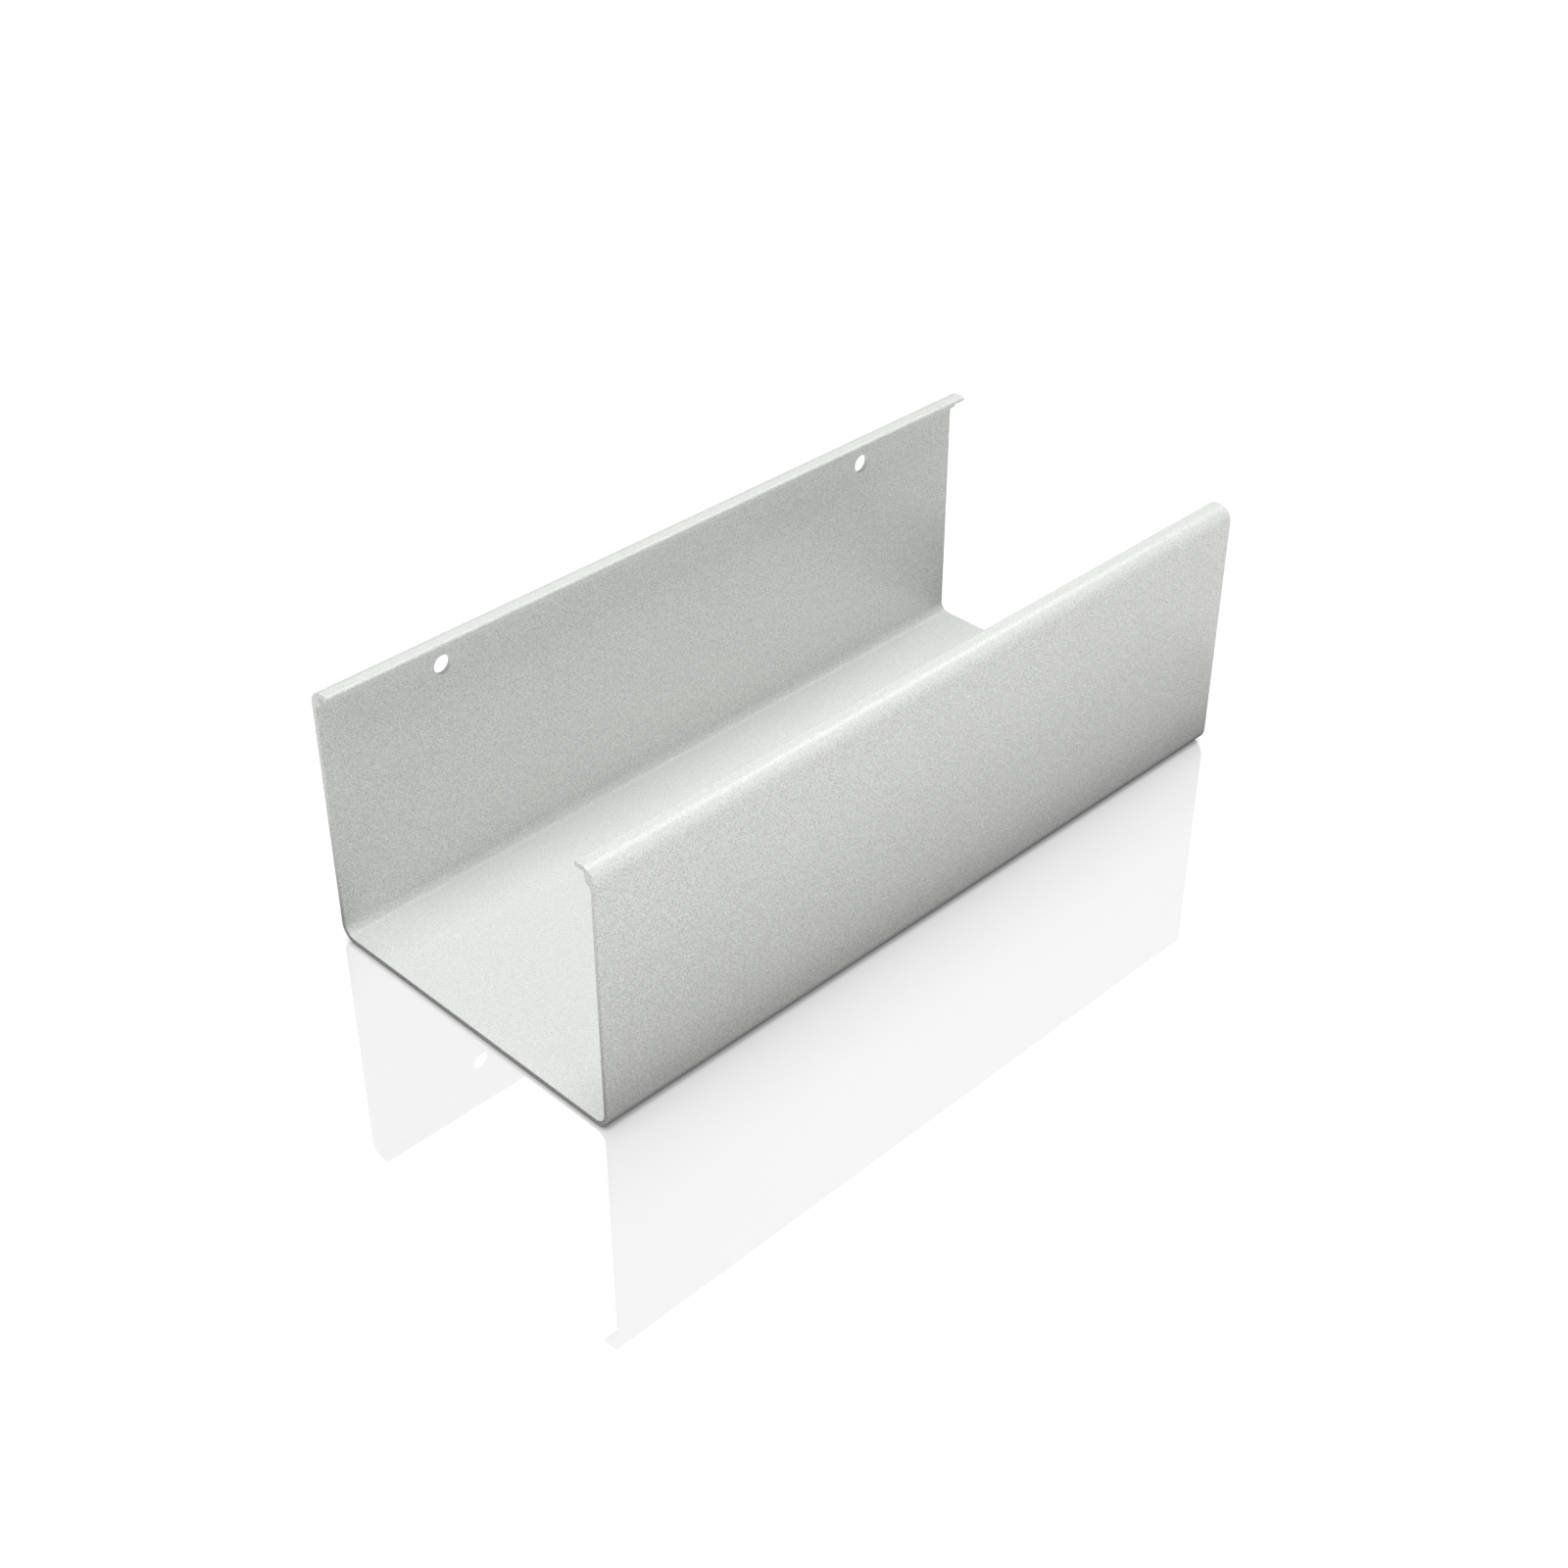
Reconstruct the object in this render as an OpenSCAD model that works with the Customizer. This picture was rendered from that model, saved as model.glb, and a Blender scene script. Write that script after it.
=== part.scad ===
// Cable tray: one extruded aluminium channel, cut square at both ends and coated all over.
// It stands on its floor with the open side up: X runs along the tray, Y from the plain front
// wall to the drilled back wall, and Z up. The origin is the centre of the resting face.

/* [Tray] */
// Length, between the two square-cut ends
tray_l = 300; // [240:5:1200]
// Width over the outsides of the two walls
tray_w = 135; // [80:1:250]
// Height from the resting face to the tops of the lips
tray_h = 100; // [60:1:200]
// Thickness of the floor, the walls and the lips
sheet_t = 2; // [1.5:0.1:3]

/* [Bends] */
// Outside radius of the two bends between floor and wall
base_r = 6; // [4:0.5:12]
// Outside radius of the two bends between wall and lip
top_r = 5.5; // [4:0.5:6]

/* [Lips] */
// Reach of each lip, from the wall's outer face to the lip's round edge
lip_reach = 8.7; // [8.5:0.1:20]

/* [Stiffening beads] */
// Thickness of wall and bead together, at the bead's underside
bead_foot_t = 4.1; // [3.6:0.1:4.4]
// Thickness of wall and bead together, where the bead meets the lip
bead_head_t = 4.7; // [4.5:0.1:5.5]
// Depth of the bead's underside below the lip tops
bead_drop = 6; // [5.5:0.1:10]
// Height of the small slope that runs from the bead's underside into the wall
bead_run_h = 1.5; // [0.5:0.1:3]
// Width of that slope
bead_run_w = 0.4; // [0.2:0.1:0.5]

/* [Screw holes] */
// Diameter of the holes through the back wall
hole_d = 7; // [4:0.1:8]
// Distance between the two hole centres
hole_spacing = 200; // [50:5:220]
// Depth of the hole centres below the lip tops
hole_drop = 13; // [12:0.5:30]

/* [Hidden] */
$fn = 96;
// Extra length by which a cutting shape passes the faces that it cuts
over = 1;
// Inside radius of the lower bends, which keeps the sheet's thickness round them
base_inner_r = base_r - sheet_t;
// Half of the width, from the tray's middle plane to a wall's outer face
half_w = tray_w / 2;
// Heights of the lip's underside and of the bead's underside
lip_z = tray_h - sheet_t;
bead_z = tray_h - bead_drop;

// A rectangle standing on the Y axis with its two lower corners rounded
module round_footed_2d(w, h, r) {
    translate([-w / 2, r]) square([w, h - r]);
    translate([r - w / 2, 0]) square([w - 2 * r, r]);
    for (side = [-1, 1])
        translate([side * (w / 2 - r), r]) circle(r);
}

// The outline round the whole channel: the rounded floor, and the same turned over on top
module outline_2d() {
    intersection() {
        round_footed_2d(tray_w, tray_h, base_r);
        translate([0, tray_h]) mirror([0, 1]) round_footed_2d(tray_w, tray_h, top_r);
    }
}

// The space inside the walls, up to where the slope under each bead begins
module trough_2d() {
    translate([0, sheet_t])
        round_footed_2d(tray_w - 2 * sheet_t, bead_z - bead_run_h - sheet_t, base_inner_r);
}

// The space between the two beads and between the two lips, open at the top
module mouth_2d() {
    tip_y = half_w - lip_reach + sheet_t / 2;
    right = [
        [half_w - sheet_t, bead_z - bead_run_h],
        [half_w - sheet_t - bead_run_w, bead_z],
        [half_w - bead_foot_t, bead_z],
        [half_w - bead_head_t, lip_z],
        [tip_y, lip_z],
        [tip_y, tray_h + over],
    ];
    left = [for (i = [len(right) - 1 : -1 : 0]) [-right[i][0], right[i][1]]];
    polygon(concat(right, left));
}

// The round free edges of the two lips
module lip_edges_2d() {
    for (side = [-1, 1])
        translate([side * (half_w - lip_reach + sheet_t / 2), tray_h - sheet_t / 2])
            circle(d = sheet_t);
}

// The profile that the channel is extruded in
module section_2d() {
    difference() {
        outline_2d();
        trough_2d();
        mouth_2d();
    }
    lip_edges_2d();
}

// One screw hole, bored through the back wall along Y
module screw_hole(x) {
    translate([x, half_w - sheet_t - over, tray_h - hole_drop])
        rotate([-90, 0, 0]) cylinder(d = hole_d, h = sheet_t + 2 * over);
}

module tray_channel() {
    color([0.80, 0.81, 0.79])
        difference() {
            translate([-tray_l / 2, 0, 0])
                rotate([90, 0, 90]) linear_extrude(tray_l) section_2d();
            for (side = [-1, 1]) screw_hole(side * hole_spacing / 2);
        }
}

tray_channel();
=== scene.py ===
"""Cable tray: the looks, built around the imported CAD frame. Metres, +Z up."""
import math

import bmesh
import bpy
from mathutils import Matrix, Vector


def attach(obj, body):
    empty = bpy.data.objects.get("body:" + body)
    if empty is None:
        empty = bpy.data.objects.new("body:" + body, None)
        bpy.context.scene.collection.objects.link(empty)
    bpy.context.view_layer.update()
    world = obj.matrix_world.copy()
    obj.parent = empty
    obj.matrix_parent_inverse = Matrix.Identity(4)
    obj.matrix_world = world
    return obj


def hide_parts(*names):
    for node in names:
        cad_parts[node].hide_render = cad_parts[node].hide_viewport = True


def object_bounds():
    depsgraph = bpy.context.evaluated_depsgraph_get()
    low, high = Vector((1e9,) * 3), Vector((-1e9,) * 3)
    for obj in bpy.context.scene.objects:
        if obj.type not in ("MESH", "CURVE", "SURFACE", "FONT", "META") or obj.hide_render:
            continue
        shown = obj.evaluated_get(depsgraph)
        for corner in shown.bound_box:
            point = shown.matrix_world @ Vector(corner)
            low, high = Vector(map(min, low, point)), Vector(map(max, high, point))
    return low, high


MM = 0.001

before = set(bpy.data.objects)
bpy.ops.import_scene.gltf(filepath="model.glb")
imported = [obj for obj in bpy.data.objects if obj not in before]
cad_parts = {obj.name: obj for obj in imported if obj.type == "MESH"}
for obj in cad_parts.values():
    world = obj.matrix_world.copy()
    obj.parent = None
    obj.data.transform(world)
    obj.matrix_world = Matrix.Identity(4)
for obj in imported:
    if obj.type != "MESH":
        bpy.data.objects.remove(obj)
cad_low, cad_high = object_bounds()

# The channel's driving sizes. Its box comes from the frame, the rest from its profile.
LENGTH = cad_high.x - cad_low.x
WIDTH = cad_high.y - cad_low.y
HEIGHT = cad_high.z - cad_low.z
SHEET = 2.0 * MM            # floor, walls and lips
BASE_R = 6.0 * MM           # outside of the bends between floor and wall
TOP_R = 5.5 * MM            # outside of the bends between wall and lip
LIP_REACH = 8.7 * MM        # from the wall's outer face to the lip's round edge
BEAD_FOOT = 4.1 * MM        # wall and bead together, at the bead's underside
BEAD_HEAD = 4.7 * MM        # wall and bead together, under the lip
BEAD_DROP = 6.0 * MM        # bead's underside below the lip tops
BEAD_RUN_H = 1.5 * MM       # slope from the bead's underside into the wall
BEAD_RUN_W = 0.4 * MM
EDGE_R = 0.25 * MM          # rounding of the sawn ends and of the hole rims
HOLE_R = 3.5 * MM
HOLE_SPACING = 200.0 * MM
HOLE_DROP = 13.0 * MM       # hole centres below the lip tops
HOLE_Z = HEIGHT - HOLE_DROP
HOLE_PATCH = 5.0 * MM       # half the side of the square of wall that is meshed round a hole
HOLE_STEPS = 16             # edges in each quarter of a hole
RIM_STEPS = 5               # edges across each rounding
STATION_GAP = 10.0 * MM     # longest face along the channel


# ---------------------------------------------------------------- the profile

def half_corners():
    """Corners of the profile's back half, from the floor's underside to its top, with each one's rounding."""
    outer = WIDTH / 2
    lip_z = HEIGHT - SHEET
    bead_z = HEIGHT - BEAD_DROP
    return [
        (outer, 0.0, BASE_R),
        (outer, HEIGHT, TOP_R),
        (outer - LIP_REACH, HEIGHT, SHEET / 2 - 1e-6),
        (outer - LIP_REACH, lip_z, SHEET / 2 - 1e-6),
        (outer - BEAD_HEAD, lip_z, 0.6 * MM),
        (outer - BEAD_FOOT, bead_z, 0.5 * MM),
        (outer - SHEET - BEAD_RUN_W, bead_z, 0.4 * MM),
        (outer - SHEET, bead_z - BEAD_RUN_H, 1.0 * MM),
        (outer - SHEET, SHEET, BASE_R - SHEET),
    ]


def rounded(corners, step=math.radians(6)):
    """Points and outward normals of a closed outline, run anticlockwise, with an arc at every corner."""
    made = []
    for i, (y, z, radius) in enumerate(corners):
        here = Vector((y, z))
        back = (Vector(corners[i - 1][:2]) - here).normalized()
        ahead = (Vector(corners[(i + 1) % len(corners)][:2]) - here).normalized()
        half_angle = back.angle(ahead) / 2
        centre = here + (back + ahead).normalized() * (radius / math.sin(half_angle))
        first = here + back * (radius / math.tan(half_angle)) - centre
        last = here + ahead * (radius / math.tan(half_angle)) - centre
        convex = back.cross(ahead) < 0
        turn = math.pi - 2 * half_angle
        steps = max(2, math.ceil(turn / step))
        start = math.atan2(first.y, first.x)
        sweep = turn if convex else -turn
        for k in range(steps + 1):
            angle = start + sweep * k / steps
            ray = Vector((math.cos(angle), math.sin(angle)))
            made.append((centre + ray * radius, ray if convex else -ray))
    return made


def add_strip(outline, low_z, high_z):
    """The outline with two more points at these heights on both faces of the back wall, for the holes."""
    made = []
    for i, (point, normal) in enumerate(outline):
        made.append((point, normal))
        following = outline[(i + 1) % len(outline)][0]
        on_back_wall = point.x > WIDTH / 2 - 1.5 * SHEET and abs(point.x - following.x) < 1e-7
        if on_back_wall and abs(following.y - point.y) > high_z - low_z:
            heights = (low_z, high_z) if following.y > point.y else (high_z, low_z)
            made += [(Vector((point.x, z)), normal.copy()) for z in heights]
    return made


def profile():
    """The closed profile as (point, outward normal) pairs in Y and Z, run anticlockwise."""
    back = half_corners()
    front = [(-y, z, radius) for y, z, radius in reversed(back)]
    return add_strip(rounded(front[-1:] + back + front[:-1]), HOLE_Z - HOLE_PATCH, HOLE_Z + HOLE_PATCH)


# ------------------------------------------------------------------- the mesh

def stations():
    """Places along X where the channel has a ring of vertices: (x, inset, lean towards the end)."""
    half = LENGTH / 2
    fixed = [-half + EDGE_R, half - EDGE_R]
    for side in (-1, 1):
        fixed += [side * HOLE_SPACING / 2 - HOLE_PATCH, side * HOLE_SPACING / 2 + HOLE_PATCH]
    fixed.sort()
    body = [fixed[0]]
    for a, b in zip(fixed, fixed[1:]):
        count = max(1, round((b - a) / STATION_GAP))
        body += [a + (b - a) * k / count for k in range(1, count + 1)]
    rim = [math.radians(90) * k / RIM_STEPS for k in range(1, RIM_STEPS + 1)]
    end = [(half - EDGE_R + EDGE_R * math.sin(a), EDGE_R * (1 - math.cos(a)), a) for a in rim]
    return [(-x, inset, -a) for x, inset, a in reversed(end)] + [(x, 0.0, 0.0) for x in body] + end


def build_channel():
    """The extruded channel, with rounded saw cuts and two bored holes with rounded rims in the back wall."""
    outline = profile()
    mesh = bmesh.new()
    normals = {}
    rims = {}

    def vertex(place, normal, rim=0.0):
        made = mesh.verts.new(place)
        normals[made] = normal
        rims[made] = rim
        return made

    rings = []
    for x, inset, lean in stations():
        ring = []
        for point, normal in outline:
            at = point - normal * inset
            facing = Vector((math.sin(lean), normal.x * math.cos(lean), normal.y * math.cos(lean)))
            ring.append(vertex((x, at.x, at.y), facing, abs(math.sin(2 * lean))))
        rings.append(ring)

    hole_xs = [-HOLE_SPACING / 2, HOLE_SPACING / 2]
    patches = {x: [] for x in hole_xs}
    for ring, following in zip(rings, rings[1:]):
        for i in range(len(outline)):
            j = (i + 1) % len(outline)
            corners = [ring[i], ring[j], following[j], following[i]]
            centre = sum((v.co for v in corners), Vector()) / 4
            hole = next((x for x in hole_xs if is_patch(corners, centre, x)), None)
            if hole is None:
                mesh.faces.new(corners)
            else:
                patches[hole].append(corners)
    mesh.faces.new(list(reversed(rings[0])))
    mesh.faces.new(rings[-1])
    for x, pair in patches.items():
        bore_hole(mesh, vertex, x, pair)
    bmesh.ops.recalc_face_normals(mesh, faces=mesh.faces)
    return mesh_object("tray_channel_coated", mesh, normals, rims)


def is_patch(corners, centre, x):
    """True for the square of either face of the back wall that a hole at x is cut in."""
    spans = [max(v.co[k] for v in corners) - min(v.co[k] for v in corners) for k in (0, 2)]
    right_size = all(abs(span - 2 * HOLE_PATCH) < 1e-6 for span in spans)
    return right_size and centre.y > 0 and abs(centre.x - x) < 1e-6


def bore_hole(mesh, vertex, x, pair):
    """Fills the two square patches round a rounded-rim bore, and joins them through the wall."""
    circles = []
    count = 4 * HOLE_STEPS
    for corners in pair:
        face_y = corners[0].co.y
        side = 1 if face_y > WIDTH / 2 - SHEET / 2 else -1
        rows = []
        for k in range(RIM_STEPS + 1):
            lean = math.radians(90) * k / RIM_STEPS
            radius = HOLE_R + EDGE_R * (1 - math.sin(lean))
            y = face_y - side * EDGE_R * (1 - math.cos(lean))
            row = []
            for n in range(count):
                angle = math.tau * n / count
                out = Vector((math.cos(angle), 0, math.sin(angle)))
                normal = Vector((0, side, 0)) * math.cos(lean) - out * math.sin(lean)
                place = (x + out.x * radius, y, HOLE_Z + out.z * radius)
                row.append(vertex(place, normal, math.sin(2 * lean)))
            rows.append(row)
        for row, inner in zip(rows, rows[1:]):
            for n in range(count):
                m = (n + 1) % count
                mesh.faces.new([row[n], row[m], inner[m], inner[n]])
        fan(mesh, corners, rows[0], x)
        circles.append(rows[-1])
    for n in range(count):
        m = (n + 1) % count
        mesh.faces.new([circles[0][n], circles[0][m], circles[1][m], circles[1][n]])


def fan(mesh, corners, circle, x):
    """Flat faces between a square patch's four corners and the circle inside it."""
    def quarter(v):
        return (1 if v.co.z < HOLE_Z else 0) * 2 + (1 if (v.co.x < x) != (v.co.z < HOLE_Z) else 0)

    ordered = sorted(corners, key=quarter)
    for k, corner in enumerate(ordered):
        first = k * HOLE_STEPS
        for n in range(first, first + HOLE_STEPS):
            mesh.faces.new([corner, circle[n], circle[(n + 1) % len(circle)]])
        shared = circle[(first + HOLE_STEPS) % len(circle)]
        mesh.faces.new([corner, shared, ordered[(k + 1) % 4]])


def mesh_object(name, mesh, normals, rims):
    """A smooth-shaded object with the exact normals of its surfaces and a mark along its rounded rims."""
    mesh.verts.index_update()
    facing = [normals[v].normalized() for v in mesh.verts]
    rim = [rims[v] for v in mesh.verts]
    data = bpy.data.meshes.new(name)
    mesh.to_mesh(data)
    mesh.free()
    data.shade_smooth()
    data.normals_split_custom_set_from_vertices(facing)
    data.attributes.new("rim", "FLOAT", "POINT").data.foreach_set("value", rim)
    made = bpy.data.objects.new(name, data)
    bpy.context.scene.collection.objects.link(made)
    return made


# --------------------------------------------------------------- the material

class Nodes:
    """Short calls for building one material's node tree."""

    def __init__(self, name):
        self.material = bpy.data.materials.new(name)
        self.material.use_nodes = True
        self.tree = self.material.node_tree
        self.tree.nodes.clear()

    def add(self, kind, **values):
        node = self.tree.nodes.new(kind)
        for key, value in values.items():
            setattr(node, key, value)
        return node

    def link(self, source, target):
        self.tree.links.new(source, target)

    def noise(self, scale, detail, coordinates):
        """Noise of about this many bumps a metre."""
        node = self.add("ShaderNodeTexNoise")
        node.inputs["Scale"].default_value = scale
        node.inputs["Detail"].default_value = detail
        node.inputs["Roughness"].default_value = 0.5
        self.link(coordinates, node.inputs["Vector"])
        return node.outputs["Fac"]

    def span(self, value, low, high, new_low, new_high):
        """value moved from one range to another."""
        node = self.add("ShaderNodeMapRange", clamp=False)
        self.link(value, node.inputs["Value"])
        limits = {"From Min": low, "From Max": high, "To Min": new_low, "To Max": new_high}
        for socket, number in limits.items():
            node.inputs[socket].default_value = number
        return node.outputs["Result"]

    def math(self, operation, a, b):
        node = self.add("ShaderNodeMath", operation=operation)
        for socket, value in zip(node.inputs, (a, b)):
            if isinstance(value, (int, float)):
                socket.default_value = value
            else:
                self.link(value, socket)
        return node.outputs["Value"]

    def scaled(self, colour, factor):
        """A constant colour, made lighter or darker by a varying factor."""
        node = self.add("ShaderNodeVectorMath", operation="SCALE")
        node.inputs[0].default_value = colour
        self.link(factor, node.inputs["Scale"])
        return node.outputs["Vector"]

    def turned(self, coordinates):
        """Coordinates turned so that no flat face lies along a noise pattern's own grid."""
        node = self.add("ShaderNodeMapping")
        self.link(coordinates, node.inputs["Vector"])
        node.inputs["Rotation"].default_value = (0.6, 0.4, 0.8)
        return node.outputs["Vector"]

    def bump(self, height, distance, strength, below=None):
        node = self.add("ShaderNodeBump")
        node.inputs["Distance"].default_value = distance
        node.inputs["Strength"].default_value = strength
        self.link(height, node.inputs["Height"])
        if below is not None:
            self.link(below, node.inputs["Normal"])
        return node.outputs["Normal"]


NOISE_RANGE = (0.3, 0.7)                # where nearly all the values of a noise pattern lie
COAT_COLOUR = (0.837, 0.853, 0.829)     # light grey, a little to the green
GRAIN_SCALE = 2000                      # bumps a metre, for each pattern
SPECKLE_SCALE = 1900
PEEL_SCALE = 300
THIN_SCALE = 250
DRIFT_SCALE = 14
GRAIN_DEPTH = 0.07 * MM
PEEL_DEPTH = 0.03 * MM
GLOSS = (0.18, 0.24)                    # roughness between the hollows and tops of the grain
COAT_SPECULAR = 0.4
COAT_IOR = 1.5
DRIFT = 0.008                           # how far the colour wanders over the whole tray
THIN_LIGHTER = 0.06                     # how much lighter, and how much rougher, the coat is on rims
THIN_ROUGHER = 0.1
WALL_GRAIN = 0.15                       # how far the grain lightens and darkens the coat on upright faces
FLOOR_GRAIN = 0.07                      # and on level ones


def powder_coat():
    """Light grey powder coat: fine grain over a soft orange peel, and a thinner, rougher coat on the rims."""
    n = Nodes("grey_powder_coat")
    geometry = n.add("ShaderNodeNewGeometry")
    place = n.turned(geometry.outputs["Position"])
    grain = n.noise(GRAIN_SCALE, 1, place)
    speckle = n.noise(SPECKLE_SCALE, 0, place)
    peel = n.noise(PEEL_SCALE, 2, place)
    drift = n.noise(DRIFT_SCALE, 3, place)
    rim = n.add("ShaderNodeAttribute", attribute_name="rim").outputs["Fac"]
    thin = n.math("MULTIPLY", rim, n.span(n.noise(THIN_SCALE, 2, place), *NOISE_RANGE, 0.0, 1.0))
    facing = n.add("ShaderNodeSeparateXYZ")
    n.link(geometry.outputs["Normal"], facing.inputs["Vector"])
    strength = n.span(n.math("ABSOLUTE", facing.outputs["Z"], 0), 0.0, 1.0, WALL_GRAIN, FLOOR_GRAIN)
    grained = n.math("MULTIPLY", n.span(speckle, *NOISE_RANGE, -1.0, 1.0), strength)
    shade = n.math("ADD", grained, n.span(drift, *NOISE_RANGE, 1 - DRIFT, 1 + DRIFT))
    shade = n.math("ADD", shade, n.math("MULTIPLY", thin, THIN_LIGHTER))
    gloss = n.math("ADD", n.span(grain, *NOISE_RANGE, *GLOSS), n.math("MULTIPLY", thin, THIN_ROUGHER))
    coat = n.add("ShaderNodeBsdfPrincipled")
    n.link(n.scaled(COAT_COLOUR, shade), coat.inputs["Base Color"])
    n.link(gloss, coat.inputs["Roughness"])
    coat.inputs["Specular IOR Level"].default_value = COAT_SPECULAR
    coat.inputs["IOR"].default_value = COAT_IOR
    peeled = n.bump(peel, PEEL_DEPTH, 0.5)
    n.link(n.bump(grain, GRAIN_DEPTH, 1.0, peeled), coat.inputs["Normal"])
    output = n.add("ShaderNodeOutputMaterial")
    n.link(coat.outputs["BSDF"], output.inputs["Surface"])
    return n.material


# ------------------------------------------------------------------ the stage

FLOOR_SIZE = 12.0
FLOOR_Z = -0.2 * MM
CARD_Z = -0.6 * MM
FLOOR_COLOUR = (0.32, 0.32, 0.32, 1)    # the part of its white that shadows fall on
FLOOR_IOR = 2.4
FLOOR_GLOW = 0.56           # the rest of the floor's white, which no shadow falls on; only a painted contact shadow near the tray dims it
CONTACT_SHADE_REACH = 2.0 * MM    # how far from the tray the painted contact shadow darkens that part too
WORLD_GLOW = 0.31           # radiance from all round; 1 is white in the picture
BACKDROP_GLOW = 1.5         # radiance of the background to the camera and in the floor's mirror gloss
STRIP_GLOW = 3.2            # extra radiance of the long softbox over the tray
STRIP_SIZE = (2.0, 0.4)
STRIP_Z = 0.9
FRONT_GLOW = 1.28           # extra radiance of the softbox in front of the plain wall
FRONT_SIZE = (0.5, 0.5)
FRONT_PLACE = (-0.2, -0.8, 0.35)
BOUNCE_START = 0.014        # where the light that the floor throws up at the tray starts, past its walls
BOUNCE_STEP = 0.06          # where it gets stronger, and where it starts past the open ends
BOUNCE_END = 1.0
BOUNCE_NEAR = 0.33
BOUNCE_FAR = 1.04
BOUNCE_ENDS = 0.94          # past the open ends


def plane(name, z, material):
    bpy.ops.mesh.primitive_plane_add(size=FLOOR_SIZE, location=(0, 0, z))
    made = bpy.context.object
    made.name = name
    made.data.materials.append(material)
    return made


def studio_floor():
    """A white floor with a mirror gloss and a painted contact shadow, and a black card under it that no light
    from below passes.
    """
    n = Nodes("studio_floor")
    paper = n.add("ShaderNodeBsdfPrincipled")
    paper.inputs["Base Color"].default_value = FLOOR_COLOUR
    paper.inputs["Roughness"].default_value = 0.0
    paper.inputs["IOR"].default_value = FLOOR_IOR
    paper.inputs["Emission Color"].default_value = (1, 1, 1, 1)
    # Painted contact shadow: ambient occlusion near the tray dims the floor's glow.
    shade = n.add("ShaderNodeAmbientOcclusion", samples=8)
    shade.inputs["Distance"].default_value = CONTACT_SHADE_REACH
    n.link(n.math("MULTIPLY", shade.outputs["AO"], FLOOR_GLOW), paper.inputs["Emission Strength"])
    output = n.add("ShaderNodeOutputMaterial")
    n.link(paper.outputs["BSDF"], output.inputs["Surface"])
    n.material.cycles.emission_sampling = "NONE"
    floor = plane("studio_floor", FLOOR_Z, n.material)
    floor.visible_diffuse = False
    floor.visible_glossy = False
    n = Nodes("black_card")
    n.add("ShaderNodeOutputMaterial")
    plane("black_card", CARD_Z, n.material).visible_camera = False


def softbox(name, place, aim, size, radiance):
    """A rectangular light of this even radiance, which the camera doesn't see."""
    light = bpy.data.lights.new(name, "AREA")
    light.shape = "RECTANGLE"
    light.size, light.size_y = size
    light.energy = radiance * math.pi * size[0] * size[1]
    made = bpy.data.objects.new(name, light)
    made.location = place
    made.rotation_mode = "QUATERNION"
    made.rotation_quaternion = (Vector(aim) - Vector(place)).to_track_quat("-Z", "Y")
    made.visible_camera = False
    bpy.context.scene.collection.objects.link(made)


def floor_board(name, x, y, size, radiance):
    """Part of the light that the floor throws straight up."""
    softbox(name, (x, y, 0), (x, y, 1), size, radiance)


def floor_bounce():
    """Boards at floor level round the tray, in place of the light that a white floor throws up at it."""
    near = BOUNCE_STEP - BOUNCE_START
    far = BOUNCE_END - BOUNCE_STEP
    for label, side in (("front", -1), ("back", 1)):
        y = side * (WIDTH / 2 + BOUNCE_START + near / 2)
        floor_board(f"near_{label}", 0, y, (LENGTH + 2 * BOUNCE_STEP, near), BOUNCE_NEAR)
        y = side * (WIDTH / 2 + BOUNCE_STEP + far / 2)
        floor_board(f"far_{label}", 0, y, (LENGTH + 2 * BOUNCE_END, far), BOUNCE_FAR)
    for label, side in (("left", -1), ("right", 1)):
        x = side * (LENGTH / 2 + BOUNCE_STEP + far / 2)
        floor_board(f"far_{label}", x, 0, (far, WIDTH + 2 * BOUNCE_STEP), BOUNCE_ENDS)


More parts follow.
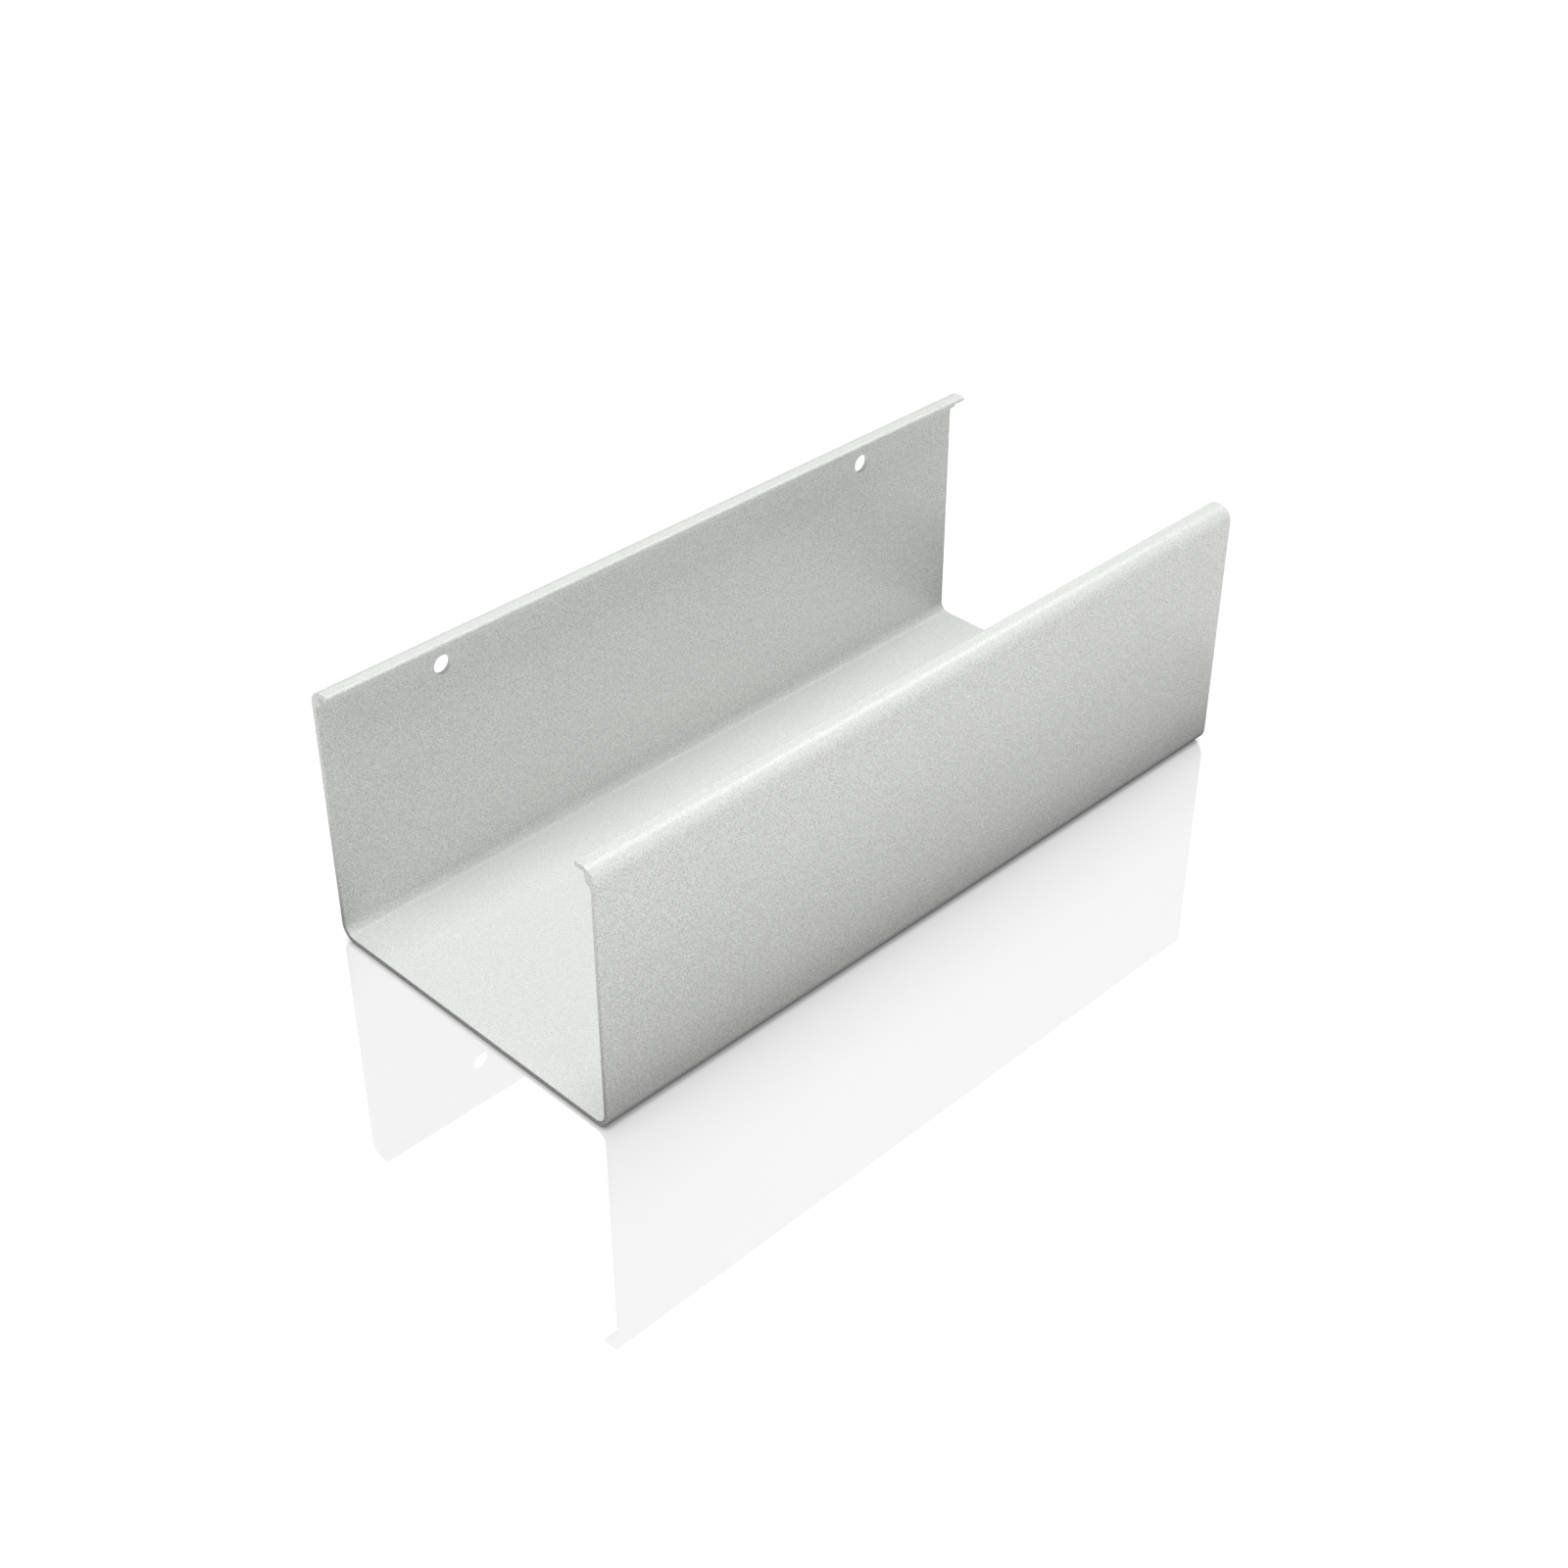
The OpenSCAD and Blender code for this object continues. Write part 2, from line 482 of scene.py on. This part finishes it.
def studio_world():
    """Even light from all round. The camera, and the floor's sharp reflection, see it as white."""
    world = bpy.data.worlds.new("studio_world")
    world.use_nodes = True
    tree = world.node_tree
    path = tree.nodes.new("ShaderNodeLightPath")
    seen = tree.nodes.new("ShaderNodeMath")
    seen.operation = "MAXIMUM"
    tree.links.new(path.outputs["Is Camera Ray"], seen.inputs[0])
    tree.links.new(path.outputs["Is Singular Ray"], seen.inputs[1])
    glow = tree.nodes.new("ShaderNodeMapRange")
    glow.inputs["To Min"].default_value = WORLD_GLOW
    glow.inputs["To Max"].default_value = BACKDROP_GLOW
    tree.links.new(seen.outputs["Value"], glow.inputs["Value"])
    background = tree.nodes["Background"]
    background.inputs["Color"].default_value = (1, 1, 1, 1)
    tree.links.new(glow.outputs["Result"], background.inputs["Strength"])
    bpy.context.scene.world = world


def studio_lights():
    """A long softbox over the tray, a small one in front, dim light all round and the floor's bounce."""
    studio_world()
    softbox("strip", (0, 0, STRIP_Z), (0, 0, 0), STRIP_SIZE, STRIP_GLOW)
    softbox("front", FRONT_PLACE, (0, 0, HEIGHT / 2), FRONT_SIZE, FRONT_GLOW)
    floor_bounce()


CAMERA_AZIMUTH = math.radians(-45.0)    # 0 looks along +Y
CAMERA_ELEVATION = math.radians(35.3)
CAMERA_DISTANCE = 0.8358
CAMERA_TARGET = Vector((0.0, 0.0070, 0.0182))
CAMERA_LENS = 53.95                     # on a 36 mm sensor


def add_camera():
    """The camera, above the corner between the plain wall and one open end."""
    flat = math.cos(CAMERA_ELEVATION)
    sideways = math.sin(CAMERA_AZIMUTH) * flat
    forwards = math.cos(CAMERA_AZIMUTH) * flat
    back = Vector((sideways, -forwards, math.sin(CAMERA_ELEVATION)))
    data = bpy.data.cameras.new("camera")
    data.lens = CAMERA_LENS
    data.sensor_width = 36
    data.clip_start = 0.01
    camera = bpy.data.objects.new("camera", data)
    camera.location = CAMERA_TARGET + back * CAMERA_DISTANCE
    camera.rotation_mode = "QUATERNION"
    camera.rotation_quaternion = (-back).to_track_quat("-Z", "Y")
    bpy.context.scene.collection.objects.link(camera)
    bpy.context.scene.camera = camera
    return camera


# ------------------------------------------------------------------- assembly

add_camera()
channel = build_channel()
channel.data.materials.append(powder_coat())
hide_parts("tray_channel")
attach(channel, "root")

studio_floor()
studio_lights()
bpy.context.scene.view_settings.view_transform = "Standard"
